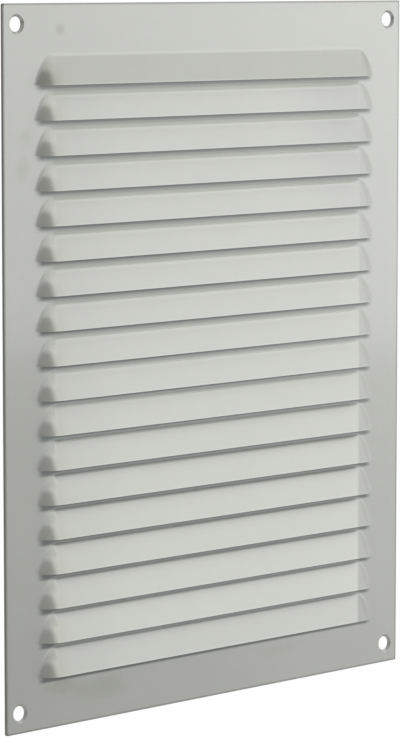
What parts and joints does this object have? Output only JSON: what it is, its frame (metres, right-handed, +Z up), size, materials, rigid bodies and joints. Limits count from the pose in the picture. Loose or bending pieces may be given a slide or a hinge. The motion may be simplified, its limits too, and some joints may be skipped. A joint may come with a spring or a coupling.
{
  "type": "louvred ventilation panel",
  "caption": "Upright rectangular panel of thin metal with pressed horizontal louvres that open downwards, and a countersunk screw hole in each corner.",
  "frame": {"origin": "middle of the back face, on the wall plane, which is the middle of the four screw holes", "axes": "+Z up the panel, +X across it, the louvres stand out towards -Y and open downwards"},
  "size_m": [0.2, 0.0055, 0.25],
  "materials": {
    "satin_aluminium": "satin, pale grey, slightly uneven, with faint marks from handling"
  },
  "bodies": {
    "root": {"louvred_panel": "satin_aluminium"}
  },
  "joints": []
}
